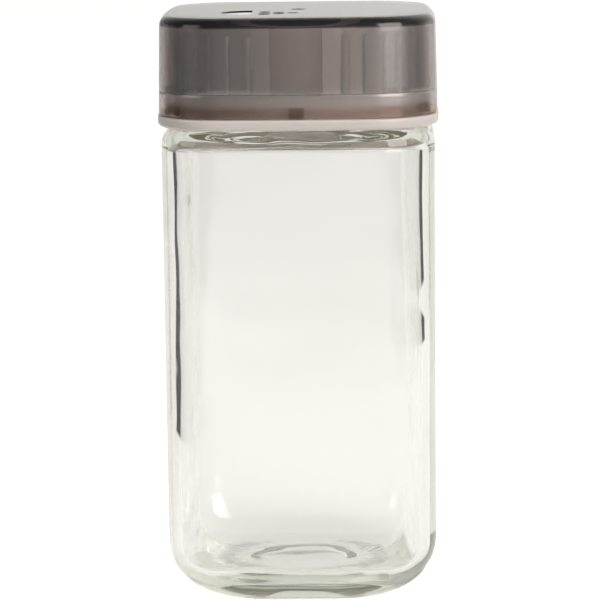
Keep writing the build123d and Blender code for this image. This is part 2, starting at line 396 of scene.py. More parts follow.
class SPICE_PG_stage(bpy.types.PropertyGroup):
    """Lights, floor and camera."""

    floor: colour("Floor", "Colour of the floor", (0.86, 0.86, 0.86))
    paper: colour("Paper", "Colour of the white paper round the jar", (1.0, 0.985, 0.945))
    paper_left: length("Paper left", "How far the bright paper reaches to the left", 0.14)
    paper_right: length("Paper right", "How far the bright paper reaches to the right", 0.26)
    paper_slant: amount("Paper slant", "How far the paper widens to each side towards the back", 1.35)
    room: amount("Room", "Brightness of the floor beside the paper, as a share of the paper's", 0.12)
    through: amount("Through glass", "Share of the paper's brightness that glass and dial show", 0.58)
    surround: amount("Surround", "Brightness of the white surroundings as light", 0.45)
    light_distance: length("Light distance", "Distance of the softboxes from the jar", 3.0)
    key_side: rotation("Key side", "How far the key light stands to the right", 0.72)
    key_rise: rotation("Key rise", "How far the key light stands up", 0.38)
    key_level: amount("Key level", "Brightness that the key gives a white face turned to it", 0.9)
    fill_side: rotation("Fill side", "How far the fill light stands to the right", -1.1)
    fill_rise: rotation("Fill rise", "How far the fill light stands up", 0.35)
    fill_level: amount("Fill level", "Brightness that the fill gives a white face turned to it", 0.16)
    warmth: colour("Warmth", "Colour of the softboxes", (1.0, 0.93, 0.89))
    distance: length("Camera distance", "Distance from the jar's axis, along the floor", 462.3 * MM)
    height: length("Camera height", "Height of the camera over the floor", 127.3 * MM)
    turn: rotation("Camera turn", "Turn of the camera round the jar", 0.0218)
    yaw: rotation("Camera yaw", "How far the camera looks past the jar's axis", -0.0006)
    pitch: rotation("Camera pitch", "How far the camera looks down", 0.1687)
    roll: rotation("Camera roll", "Roll of the camera", -0.0122)
    lens: FloatProperty(name="Lens", description="Focal length in millimetres", default=166.7, min=1)
    steps: IntProperty(name="Steps", description="Faces round each turned piece", default=288, min=32)


# Materials


def set_inputs(tree, node, inputs):
    """Gives a node's inputs their values, or links them to the sockets that they follow."""
    for name, value in inputs.items():
        if isinstance(value, bpy.types.NodeSocket):
            tree.links.new(value, node.inputs[name])
        else:
            node.inputs[name].default_value = value


def put_node(tree, kind, inputs=None, **settings):
    """New node with its settings and inputs."""
    node = tree.nodes.new(kind)
    for name, value in settings.items():
        setattr(node, name, value)
    set_inputs(tree, node, inputs or {})
    return node


def reckon(tree, operation, *values):
    """Result of a sum on values and sockets, as a socket."""
    return put_node(tree, "ShaderNodeMath", dict(enumerate(values)), operation=operation).outputs[0]


def larger(tree, first, second):
    """Larger of two values, as a socket."""
    return reckon(tree, "MAXIMUM", first, second)


def product(tree, *factors):
    """Product of values and sockets, as a socket."""
    result = factors[0]
    for factor in factors[1:]:
        result = reckon(tree, "MULTIPLY", result, factor)
    return result


def fade(tree, value, start, end, low, high):
    """Smooth run from one level to another between two values, as a socket."""
    run = {"Value": value, "From Min": start, "From Max": end, "To Min": low, "To Max": high}
    return put_node(tree, "ShaderNodeMapRange", run, interpolation_type="SMOOTHSTEP").outputs["Result"]


def object_place(tree):
    """Place on the object, as a socket."""
    return put_node(tree, "ShaderNodeTexCoord").outputs["Object"]


def split_place(tree, place):
    """Parts of a place, as sockets."""
    return put_node(tree, "ShaderNodeSeparateXYZ", {0: place}).outputs


def read_mark(tree, name, output="Fac"):
    """Value that a piece carries over its surface, as a socket."""
    return put_node(tree, "ShaderNodeAttribute", attribute_name=name).outputs[output]


def new_material(name):
    """Empty node material with its Principled shader and output."""
    material = bpy.data.materials.new(name)
    material.use_nodes = True
    tree = material.node_tree
    tree.nodes.clear()
    shader = put_node(tree, "ShaderNodeBsdfPrincipled")
    output = put_node(tree, "ShaderNodeOutputMaterial", {"Surface": shader.outputs["BSDF"]})
    return material, tree, shader, output


def moulded_grain_group():
    """Fine moulded grain: a height and a roughness that vary over the surface."""
    name = "Moulded grain"
    if name in bpy.data.node_groups:
        return bpy.data.node_groups[name]
    tree = bpy.data.node_groups.new(name, "ShaderNodeTree")
    for way, sockets in (("INPUT", ("Scale", "Roughness", "Spread")), ("OUTPUT", ("Roughness", "Height"))):
        for socket in sockets:
            tree.interface.new_socket(socket, in_out=way, socket_type="NodeSocketFloat")
    given = put_node(tree, "NodeGroupInput").outputs
    place = object_place(tree)
    grain = put_node(tree, "ShaderNodeTexNoise", {"Vector": place, "Scale": given["Scale"], "Detail": 3.0})
    cloud = put_node(tree, "ShaderNodeTexNoise", {"Vector": place, "Scale": 140.0})
    centred = reckon(tree, "SUBTRACT", cloud.outputs["Fac"], 0.5)
    varied = reckon(tree, "MULTIPLY_ADD", centred, given["Spread"], given["Roughness"])
    put_node(tree, "NodeGroupOutput", {"Roughness": varied, "Height": grain.outputs["Fac"]})
    return tree


def add_grain(tree, scale, roughness, spread):
    """Moulded grain placed in a material with its own values, as its outputs."""
    values = {"Scale": scale, "Roughness": roughness, "Spread": spread}
    return put_node(tree, "ShaderNodeGroup", values, node_tree=moulded_grain_group()).outputs


def add_bump(tree, shader, height, strength, distance):
    """Bump that feeds a shader's normal."""
    bump = put_node(tree, "ShaderNodeBump", {"Strength": strength, "Distance": distance, "Height": height})
    set_inputs(tree, shader, {"Normal": bump.outputs["Normal"]})


def add_tint(tree, output, tint, density):
    """Tint that deepens with the thickness of the material."""
    absorb = put_node(tree, "ShaderNodeVolumeAbsorption", {"Color": (*tint, 1.0), "Density": density})
    set_inputs(tree, output, {"Volume": absorb.outputs["Volume"]})


def let_light_out(tree, shader, shade, loss):
    """Lets lamp light through to what lies behind, all but a share that stays as shade, and lets
    light that has been reflected inside as often as is followed out straight, with a loss."""
    last_reflection, last_step = 3.5, 11.5
    path = put_node(tree, "ShaderNodeLightPath").outputs
    reflected = reckon(tree, "GREATER_THAN", path["Glossy Depth"], last_reflection)
    followed = reckon(tree, "GREATER_THAN", path["Ray Depth"], last_step)
    spent = product(tree, larger(tree, reflected, followed), 1.0 - loss)
    lamp = product(tree, path["Is Shadow Ray"], 1.0 - shade)
    set_inputs(tree, shader, {"Alpha": reckon(tree, "SUBTRACT", 1.0, larger(tree, spent, lamp))})


def clear_glass(sizes):
    """Clear moulded glass with a faint green body tint and a slightly uneven skin."""
    material, tree, shader, output = new_material("clear_glass")
    set_inputs(tree, shader, {
        "Base Color": (1.0, 1.0, 1.0, 1.0), "Transmission Weight": 1.0, "Roughness": 0.0, "IOR": 1.52})
    skin = put_node(tree, "ShaderNodeTexNoise", {"Vector": object_place(tree), "Scale": 90.0, "Detail": 1.0})
    add_bump(tree, shader, skin.outputs["Fac"], strength=0.25, distance=0.15 * MM)
    add_tint(tree, output, sizes.tint, density=20.0)
    let_light_out(tree, shader, shade=0.3, loss=0.1)
    return material


def smoke_plastic(sizes):
    """Smoke-tinted plastic, polished but for the places that are marked as satin."""
    material, tree, shader, output = new_material("smoke_plastic")
    satin = read_mark(tree, "satin")
    grain = add_grain(tree, scale=2600.0, roughness=0.2, spread=0.04)
    rough = {"Factor": satin, "A": 0.05, "B": grain["Roughness"]}
    set_inputs(tree, shader, {
        # Base colour is the painted shade marked on the dial: a darker top edge, openings' walls and parting
        # line, and a browner foot of the thin lower edge.
        "Base Color": read_mark(tree, "tone", "Color"),
        "Transmission Weight": 1.0,
        "IOR": 1.5,
        "Roughness": put_node(tree, "ShaderNodeMix", rough, data_type="FLOAT").outputs["Result"],
        "Coat Weight": satin,
        "Coat Roughness": 0.46,
        "Coat IOR": 2.2,
    })
    add_tint(tree, output, sizes.smoke, density=460.0)
    let_light_out(tree, shader, shade=0.48, loss=0.85)
    return material


def white_plastic(sizes):
    """White satin plastic with a painted glow on its inner side, standing in for daylight that comes through.
    """
    material, tree, shader, _ = new_material("white_plastic")
    # Painted glow: a faint warm emission on the faces marked as inner.
    glow = {"Factor": read_mark(tree, "inner"), "A": (0.0, 0.0, 0.0, 1.0), "B": (0.08, 0.075, 0.06, 1.0)}
    grain = add_grain(tree, scale=2200.0, roughness=0.38, spread=0.1)
    set_inputs(tree, shader, {
        "Base Color": (*sizes.white, 1.0),
        "Roughness": grain["Roughness"],
        "Subsurface Weight": 1.0,
        "Subsurface Radius": (2.4 * MM, 2.0 * MM, 1.6 * MM),
        "Subsurface Scale": 1.0,
        "Emission Color": put_node(tree, "ShaderNodeMix", glow, data_type="RGBA").outputs["Result"],
        "Emission Strength": 1.0,
    })
    add_bump(tree, shader, grain["Height"], strength=0.08, distance=0.02 * MM)
    return material


def liner_foam():
    """Off-white foamed sealing ring."""
    material, tree, shader, _ = new_material("liner_foam")
    grain = add_grain(tree, scale=5200.0, roughness=0.8, spread=0.15)
    set_inputs(tree, shader, {"Base Color": (0.84, 0.84, 0.80, 1.0), "Roughness": grain["Roughness"]})
    add_bump(tree, shader, grain["Height"], strength=0.35, distance=0.05 * MM)
    return material


# Pieces


def dress(piece, material, body, node):
    """Gives a piece its finish and its body, and hides the CAD node that it stands for."""
    piece.data.materials.clear()
    piece.data.materials.append(material)
    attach(piece, body)
    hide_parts(node)


def thread_start(glass):
    """Height of the neck's thread where it starts."""
    return jar_high.z - glass.thread_drop - glass.lead * glass.thread_turns


def draft_at(cap, height):
    """How far the dial's sides have drawn in at a height."""
    return cap.draft * (height - dial_low.z) / (dial_high.z - dial_low.z)


class SPICE_OT_glass_jar(bpy.types.Operator):
    """Build the glass jar with its neck and screw thread"""

    bl_idname = "spice.glass_jar"
    bl_label = "Glass Jar"

    def execute(self, context):
        scene = context.scene
        glass, steps = scene.spice_glass, scene.spice_stage.steps
        mesh = turn_profile(self.profile(glass), steps, glass.side_radius)
        self.raise_thread(mesh, glass)
        self.ripple_walls(mesh, glass)
        self.ripple_ends(mesh, glass)
        self.knurl_foot(mesh, glass, steps)
        piece = new_piece("glass_jar_body", mesh, sharp_from=60.0)
        dress(piece, clear_glass(glass), "jar", "glass_jar")
        return {"FINISHED"}

    def profile(self, glass):
        """Half section of the jar, from the middle of the foot round to the middle of the floor."""
        half, rim = jar_high.x, jar_high.z
        foot_half = half - glass.heel
        top_half = half - glass.shoulder_round
        cavity_top = glass.shoulder - glass.crown
        inner_half, inner_corner = half - glass.wall, glass.corner - glass.wall
        shoulder_round, heel_round = glass.inner_shoulder_round, glass.inner_heel
        rim_round, rim_inner_round = 0.9 * MM, 0.5 * MM
        flare = 0.6 * MM
        bead = 0.9 * MM
        bead_low, bead_high = glass.shoulder + 0.65 * MM, glass.shoulder + 1.85 * MM
        root, root_corner, root_square = 1.6 * MM, 1.0 * MM, 0.4

        profile = Profile(0.0, glass.punt_depth)
        profile.line(glass.punt_top, glass.punt_depth, steps=5)
        profile.slope(glass.punt, 0.0, steps=10)
        profile.line(foot_half, 0.0, glass.foot_corner, 1.0, steps=3)
        profile.round_out(half, glass.heel, glass.corner, 1.0, steps=18)
        profile.line(half, glass.shoulder - glass.shoulder_round, glass.corner, 1.0, steps=40)
        profile.round_up(top_half, glass.shoulder, glass.corner - glass.shoulder_round, 1.0, steps=8)
        profile.line(glass.neck + flare, glass.shoulder, steps=10)
        profile.round_out(glass.neck, glass.shoulder + flare, steps=5)
        profile.line(glass.neck, bead_low)
        profile.round_out(glass.neck + bead, (bead_low + bead_high) / 2, steps=5)
        profile.round_up(glass.neck, bead_high, steps=5)
        profile.line(glass.neck, rim - rim_round, steps=38)
        profile.round_up(glass.neck - rim_round, rim, steps=6)
        profile.line(glass.bore + rim_inner_round, rim)
        profile.round_out(glass.bore, rim - rim_inner_round, steps=4)
        profile.line(glass.bore, cavity_top + root, steps=12)
        profile.round_up(glass.bore + root, cavity_top, root_corner, root_square, steps=5)
        profile.line(inner_half - shoulder_round, cavity_top, inner_corner - shoulder_round, 1.0, steps=8)
        profile.round_out(inner_half, cavity_top - shoulder_round, inner_corner, 1.0, steps=10)
        profile.line(inner_half, glass.floor + heel_round, inner_corner, 1.0, steps=40)
        profile.round_up(inner_half - heel_round, glass.floor, inner_corner - heel_round, 1.0, steps=12)
        profile.line(0.0, glass.floor, square=1.0, steps=10)
        return profile.rings

    def raise_thread(self, mesh, glass):
        """Draws the thread out of the neck's wall."""
        root_width, crest_width = 2.2 * MM, 1.0 * MM
        over_bead = glass.shoulder + 2 * MM
        raise_helix(
            mesh, glass.neck, over_bead, 0.0, glass.thread_depth,
            thread_start(glass), glass.lead, glass.thread_turns, root_width, crest_width,
        )

    def ripple_walls(self, mesh, glass):
        """Makes the wall's inner face slightly uneven, as a blown wall is."""
        slow_scale, fast_scale, fast_share = Vector((70, 70, 40)), Vector((90, 90, 170)), 0.5
        margin, skin = 0.5 * MM, 1.2 * MM
        half = jar_high.x
        low, high = glass.floor + margin, glass.shoulder - glass.crown - margin
        for vert in mesh.verts:
            across = max(abs(vert.co.x), abs(vert.co.y))
            if not low < vert.co.z < high or across >= half - skin:
                continue
            outline = plan_reach(math.atan2(vert.co.y, vert.co.x), half, glass.corner, glass.side_radius)
            if axis_distance(vert.co) < outline - skin:
                slow, fast = noise.noise(vert.co * slow_scale), noise.noise(vert.co * fast_scale)
                draw_out(vert, 1 + glass.ripple * (slow + fast_share * fast) / half)

    def ripple_ends(self, mesh, glass):
        """Makes the shoulder and the inner floor uneven, as moulded glass is where it turns."""
        floor_scale, floor_spot = Vector((130, 130, 0)), Vector((0, 0, 3))
        shoulder_scale, sink = Vector((240, 240, 400)), 0.6
        half, margin = jar_high.x, 0.5 * MM
        from_below, from_above, beside_neck, beside_edge = 1 * MM, 0.05 * MM, 2 * MM, 0.4 * MM
        inner_half = half - glass.wall - 1 * MM
        low, high = glass.shoulder - glass.crown - margin, glass.shoulder + from_above
        for vert in mesh.verts:
            reach = axis_distance(vert.co)
            over_foot = glass.floor - margin < vert.co.z < glass.floor + glass.inner_heel
            if over_foot and reach < inner_half:
                vert.co.z += glass.floor_ripple * noise.noise(vert.co * floor_scale + floor_spot)
            rise = min((vert.co.z - low) / from_below, (high - vert.co.z) / from_above, 1.0)
            clear = min((reach - glass.neck) / beside_neck, (half - reach) / beside_edge, 1.0)
            if rise > 0 and clear > 0:
                uneven = noise.noise(vert.co * shoulder_scale) - sink
                vert.co.z += glass.shoulder_ripple * rise * clear * uneven

    def knurl_foot(self, mesh, glass, steps):
        """Ring of short bars under the foot, which keep hot glass off the belt."""
        inner, outer, foot_top = 11.4 * MM, 14.6 * MM, 1.5 * MM
        for vert in mesh.verts:
            if vert.co.z < foot_top and inner < axis_distance(vert.co) < outer:
                column = round(math.atan2(vert.co.y, vert.co.x) / (2 * math.pi) * steps)
                if column % 2:
                    vert.co.z += glass.knurl


class SPICE_OT_seal_liner(bpy.types.Operator):
    """Build the soft sealing ring that lies on the rim"""

    bl_idname = "spice.seal_liner"
    bl_label = "Seal Liner"

    def execute(self, context):
        clear, edge = 0.2 * MM, 0.15 * MM
        inner, outer = context.scene.spice_glass.bore + clear, liner_high.x
        low, high = liner_low.z, liner_high.z
        profile = Profile(inner + edge, low)
        profile.line(outer - edge, low)
        profile.round_out(outer, low + edge, steps=3)
        profile.line(outer, high - edge)
        profile.round_up(outer - edge, high, steps=3)
        profile.line(inner + edge, high)
        profile.round_out(inner, high - edge, steps=3)
        profile.line(inner, low + edge)
        profile.round_up(inner + edge, low, steps=3)
        piece = new_piece("seal_liner_ring", turn_profile(profile.rings, steps=160))
        dress(piece, liner_foam(), "liner", "seal_liner")
        return {"FINISHED"}


class SPICE_OT_shaker_base(bpy.types.Operator):
    """Build the white shaker closure: collar, square ring and windowed plate"""

    bl_idname = "spice.shaker_base"
    bl_label = "Shaker Base"

    def execute(self, context):
        scene = context.scene
        cap = scene.spice_closure
        mesh = turn_profile(self.profile(cap), scene.spice_stage.steps, cap.dial_side_radius)
        self.raise_ridge(mesh, cap, scene.spice_glass)
        piece = new_piece("shaker_base_body", mesh)
        combine(piece, self.windows(cap), "DIFFERENCE")
        combine(piece, self.stops(cap), "UNION")
        self.mark_painted_glow(piece, cap)
        shade_smooth(piece)
        dress(piece, white_plastic(cap), "closure", "shaker_base")
        return {"FINISHED"}

    def profile(self, cap):
        """Half section from the middle of the plate, down the collar, round the flange and back."""
        half, low, top = base_high.x, base_low.z, base_high.z
        corner = cap.dial_corner + half - dial_high.x
        flange_top, ceiling = low + cap.flange, top - cap.plate
        edge, bore_edge, upper_round = 0.4 * MM, 0.3 * MM, 0.3 * MM
        groove_low, groove_high, groove = low + 5.15 * MM, low + 6.25 * MM, 0.5 * MM
        lip, recess = 1.6 * MM, 0.55 * MM

        profile = Profile(0.0, top)
        profile.line(cap.collar - edge, top, steps=6)
        profile.round_out(cap.collar, top - edge, steps=4)
        profile.line(cap.collar, groove_high, steps=6)
        profile.line(cap.collar - groove, groove_high)
        profile.line(cap.collar - groove, groove_low)
        profile.line(cap.collar, groove_low)
        profile.line(cap.collar, flange_top, steps=3)
        profile.line(half - upper_round, flange_top, corner - upper_round, 1.0, steps=4)
        profile.round_out(half, flange_top - upper_round, corner, 1.0, steps=3)
        profile.line(half, low + cap.flange_round, corner, 1.0, steps=2)
        profile.round_up(half - cap.flange_round, low, corner - cap.flange_round, 1.0, steps=6)
        profile.line(half - lip, low, corner - lip, 1.0)
        profile.line(half - lip, low + recess, corner - lip, 1.0)
        profile.line(cap.collar, low + recess, steps=3)
        profile.line(cap.collar, low)
        profile.line(cap.collar_bore + bore_edge, low)
        profile.line(cap.collar_bore, low + bore_edge)
        profile.line(cap.collar_bore, ceiling, steps=44)
        profile.line(0.0, ceiling, steps=6)
        return profile.rings

    def raise_ridge(self, mesh, cap, glass):
        """Draws the inner screw ridge out of the collar's bore."""
        below, turns, root_width, crest_width = 1.8 * MM, 1.0, 1.5 * MM, 0.8 * MM
        start = thread_start(glass) - below - glass.lead / 4
        quarter_back = math.radians(-90)
        raise_helix(
            mesh, cap.collar_bore, 0.0, quarter_back, -glass.thread_depth,
            start, glass.lead, turns, root_width, crest_width,
        )

    def windows(self, cap):
        """Cutters for the two windows of the plate, which the dial's openings meet."""
        over, margin, limit = 1 * MM, 1.1 * MM, 15.0 * MM
        low, high = base_high.z - cap.plate - over, base_high.z + over
        pour_reach = Vector((POUR_RADIUS + 2 * margin, POUR_RADIUS + margin))
        pour = arc(POUR_CENTRE + Vector((margin, 0)), pour_reach, 90, 180, 48)
        wide, deep, corner = 7.4 * MM, 8.6 * MM, 0.8 * MM
        straight = Vector((wide / 2 - corner, deep / 2 - corner))
        middle = FIRST_HOLE + Vector((COLUMN_PITCH, 0))
        holes = []
        for quarter, side in enumerate(((1, 1), (-1, 1), (-1, -1), (1, -1))):
            holes += arc(middle + straight * Vector(side), corner, 90 * quarter, 90, 5)
        turned_on = [Vector((-place.y, place.x)) for place in pour]
        turned_back = [Vector((place.y, -place.x)) for place in holes]
        return merged(
            prism([place * min(1.0, limit / place.length) for place in outline], low, high)
            for outline in (turned_on, turned_back)
        )

    def stops(self, cap):
        """Two small blocks on the collar that end the dial's turn."""
        size = Vector((2.1 * MM, 2.0 * MM, 1.6 * MM))
        into_collar, into_flange, beside_lug = 0.7 * MM, 0.1 * MM, 0.15 * MM
        inner = cap.collar - into_collar
        front, low = cap.lug / 2 + beside_lug, base_low.z + cap.flange - into_flange
        corners = (Vector((left, front, low)) for left in (-inner - size.x, inner))
        return merged(block(corner, corner + size) for corner in corners)

    def mark_painted_glow(self, piece, cap):
        """Marks where the painted glow goes: the bore, the underside of the plate and the underside of the
        square ring.
        """
        data = piece.data
        inner = data.attributes.new("inner", "FLOAT", "FACE").data
        beside_bore, over_edge, facing_down = 0.4 * MM, 0.1 * MM, -0.5
        bore, plate_middle = cap.collar_bore + beside_bore, base_high.z - cap.plate / 2
        for face in data.polygons:
            middle = face.center
            in_bore = axis_distance(middle) < bore and middle.z < plate_middle
            if in_bore or (face.normal.z < facing_down and middle.z > base_low.z + over_edge):
                inner[face.index].value = 1.0


class SPICE_OT_dial_cap(bpy.types.Operator):
    """Build the smoke-tinted dial cap with its sleeve, ribs and openings"""

    bl_idname = "spice.dial_cap"
    bl_label = "Dial Cap"

    def execute(self, context):
        scene = context.scene
        cap = scene.spice_closure
        steps = scene.spice_stage.steps
        piece = new_piece("dial_cap_shell", turn_profile(self.profile(cap), steps, cap.dial_side_radius))
        combine(piece, self.sleeve(cap, steps), "UNION")
        combine(piece, self.ribs(cap), "UNION")
        combine(piece, self.openings(cap), "DIFFERENCE")
        combine(piece, self.dimple(), "DIFFERENCE")
        self.mark_finish_and_painted_shade(piece, cap)
        shade_smooth(piece)
        dress(piece, smoke_plastic(cap), "dial", "dial_cap")
        return {"FINISHED"}

    def profile(self, cap):
        """Half section of the dial, from the middle of the top round to the middle of the ceiling."""
        half, low, top = dial_high.x, dial_low.z, dial_high.z
        ceiling, skirt_top = top - cap.dial_top, low + cap.skirt
        lip = 0.25 * MM
        groove_mouth, groove_bed = 0.14 * MM, 0.07 * MM

        def wall(inset, height):
            drawn = inset + draft_at(cap, height)
            return half - drawn, height, cap.dial_corner - drawn, 1.0

        profile = Profile(0.0, top)
        profile.line(*wall(cap.dial_edge, top), steps=8)
        profile.round_out(*wall(0.0, top - cap.dial_edge), steps=8)
        profile.line(*wall(0.0, skirt_top + groove_mouth), steps=12)
        profile.line(*wall(cap.groove, skirt_top + groove_bed))
        profile.line(*wall(cap.groove, skirt_top - groove_bed))
        profile.line(*wall(0.0, skirt_top - groove_mouth))
        profile.line(*wall(0.0, low + lip), steps=8)
        profile.round_up(*wall(lip, low), steps=3)
        profile.line(*wall(cap.skirt_wall - lip, low))
        profile.round_out(*wall(cap.skirt_wall, low + lip), steps=3)
        profile.line(*wall(cap.skirt_wall, skirt_top), steps=3)
        profile.line(*wall(cap.dial_wall, skirt_top))
        profile.line(*wall(cap.dial_wall, ceiling), steps=8)
        profile.line(0.0, ceiling, steps=6)
        return profile.rings

    def sleeve(self, cap, steps):
        """Round sleeve with its snap bead, which reaches into the top."""
        overlap, bead, bead_height = 0.3 * MM, 0.45 * MM, 0.8 * MM
        low = dial_low.z + cap.skirt - cap.sleeve_drop
        high = dial_high.z - cap.dial_top + overlap
        inner, outer = cap.sleeve, cap.sleeve + cap.sleeve_wall
        profile = Profile(outer, high)
        profile.line(outer, low, steps=6)
        profile.line(inner - bead / 2, low)
        profile.line(inner - bead, low + bead / 2)
        profile.line(inner - bead, low + bead_height - bead / 2)
        profile.line(inner, low + bead_height)
        profile.line(inner, high, steps=6)
        profile.line(outer, high)
        return turn_profile(profile.rings, steps)

    def ribs(self, cap):
        """Round ribs on the sleeve, the pads that join it to the wall, and the stop lug in front."""
        overlap, below_ceiling = 0.3 * MM, 1.2 * MM
        first_rib, rib_pitch, ribs_each_way = 21.2, 10, 3
        ceiling, low = dial_high.z - cap.dial_top, dial_low.z + cap.skirt - cap.sleeve_drop
        outer, inner = cap.sleeve + cap.sleeve_wall, cap.sleeve + cap.sleeve_wall / 2
        reach = dial_high.x - cap.dial_wall + overlap - draft_at(cap, ceiling)
        pad_low = Vector((inner, -cap.pad / 2, low))
        pad_high = Vector((reach, cap.pad / 2, ceiling + overlap))
        parts = []
        for side in range(4):
            facing = math.radians(90 * side)
            parts.append(block(pad_low, pad_high, facing))
            for n in range(ribs_each_way):
                for way in (-1, 1):
                    angle = facing + way * math.radians(first_rib + rib_pitch * n)
                    parts.append(self.rib(cap.rib, outer, low, ceiling - below_ceiling, angle))
        clear, lug_low, lug_high = 0.4 * MM, 0.05 * MM, 1.65 * MM
        parts.append(block(
            Vector((cap.collar + clear, -cap.lug / 2, dial_low.z + lug_low)),
            Vector((dial_high.x - cap.skirt_wall / 2, cap.lug / 2, dial_low.z + lug_high)),
            math.radians(-90),
        ))
        return merged(parts)

    def rib(self, radius, reach, low, high, angle):
        """Upright round rib with a domed head, at a distance from the axis."""
        profile = Profile(0.0, high)
        profile.round_out(radius, high - radius, steps=4)
        profile.line(radius, low, steps=6)
        profile.line(0.0, low)
        mesh = turn_profile(profile.rings, steps=20)
        spot = (reach * math.cos(angle), reach * math.sin(angle), 0.0)
        bmesh.ops.translate(mesh, verts=mesh.verts, vec=spot)
        return mesh

    def openings(self, cap):
        """Cutters for the dial's half-round pour opening and its sprinkle holes."""
        flare = 0.15 * MM
        low, high = dial_high.z - cap.dial_top - flare, dial_high.z + flare
        outlines = [arc(POUR_CENTRE, POUR_RADIUS, 90, 180, 40)]
        for column in range(HOLE_COLUMNS):
            rows = HOLE_COLUMNS - column
            for row in range(rows):
                spot = FIRST_HOLE + Vector((column * COLUMN_PITCH, (row - (rows - 1) / 2) * ROW_PITCH))
                outlines.append(arc(spot, HOLE_RADIUS, 0, 360, 32)[:-1])
        return merged(prism(outline, low, high, 2 * flare) for outline in outlines)

    def dimple(self):
        """Cutter for the shallow dimple in the middle of the top."""
        radius, depth, over = 1.25 * MM, 0.35 * MM, 0.3 * MM
        top = dial_high.z
        profile = Profile(0.0, top - depth)
        profile.line(radius - depth, top - depth, steps=2)
        profile.round_out(radius, top, steps=5)
        profile.line(radius, top + over)
        profile.line(0.0, top + over)
        return turn_profile(profile.rings, steps=48)

    def mark_finish_and_painted_shade(self, piece, cap):
        """Marks how satin each place is and what painted shade it has: the side walls and the ribs
        behind them are satin. The rounded top edge, the openings' walls, the parting line and the
        thin lower edge get painted shade, which is brown on the lower edge and fades out upwards there."""
        data = piece.data
        satin = data.attributes.new("satin", "FLOAT", "CORNER").data
        tone = data.attributes.new("tone", "FLOAT_COLOR", "CORNER").data
        # The first colour leaves the plastic as it is. The second is a dark navy painted shade for the
        # rounded top edge and the openings' walls.
        clear, painted_shade = Vector((1.0, 1.0, 1.0)), Vector((0.20, 0.20, 0.30))
        # Brown painted shade for the foot of the thin lower edge, and a near-black line of painted shade for
        # the parting line.
        painted_skirt_shade, line = Vector(cap.skirt_painted_shade), Vector((0.12, 0.10, 0.10))
        edge_satin, edge_fade, line_half = 0.12, 0.3 * MM, 0.1 * MM
        level, upright, near, openings = 0.02, 0.9, 0.05 * MM, 16 * MM
        fade_start, fade_height = dial_low.z + 1.0 * MM, 1.8 * MM
        ceiling, edge_low = dial_high.z - cap.dial_top, dial_high.z - cap.dial_edge
        skirt_top, outer = dial_low.z + cap.skirt, cap.sleeve + cap.sleeve_wall
        for face in data.polygons:
            middle, steep = face.center, abs(face.normal.z)
            away = axis_distance(middle)
            beside_pad = min(abs(middle.x), abs(middle.y)) > cap.pad / 2 + near
            on_rib = beside_pad and outer - near < away < outer + cap.rib + near
            in_opening = away < openings and steep < upright and middle.z > ceiling
            for loop in face.loop_indices:
                spot = data.vertices[data.loops[loop].vertex_index].co
                drawn = draft_at(cap, spot.z)
                reach = plan_reach(
                    math.atan2(spot.y, spot.x), dial_high.x - drawn, cap.dial_corner - drawn,
                    cap.dial_side_radius)
                inset = reach - axis_distance(spot)
                rough, shade = 0.0, clear
                # Rounded top edge: painted shade that fades in over the edge, with a little satin.
                if inset < cap.dial_edge + near and middle.z > edge_low and steep > level:
                    on_edge = ease((cap.dial_edge - inset) / edge_fade)
                    rough, shade = edge_satin * on_edge, clear.lerp(painted_shade, on_edge)
                # Thin lower edge: satin grows upwards while the brown painted shade fades out, and the
                # parting line gets a line of painted shade.
                elif inset < cap.groove + near and middle.z < edge_low:
                    rough = ease((spot.z - fade_start) / fade_height)
                    on_line = abs(spot.z - skirt_top) < line_half
                    shade = line if on_line else painted_skirt_shade.lerp(clear, rough)
                elif on_rib and middle.z < ceiling - near:
                    rough = 1.0
                # Walls of the openings: painted shade.
                elif in_opening:
                    shade = painted_shade
                satin[loop].value = rough
                tone[loop].color = (*shade, 1.0)


# Stage


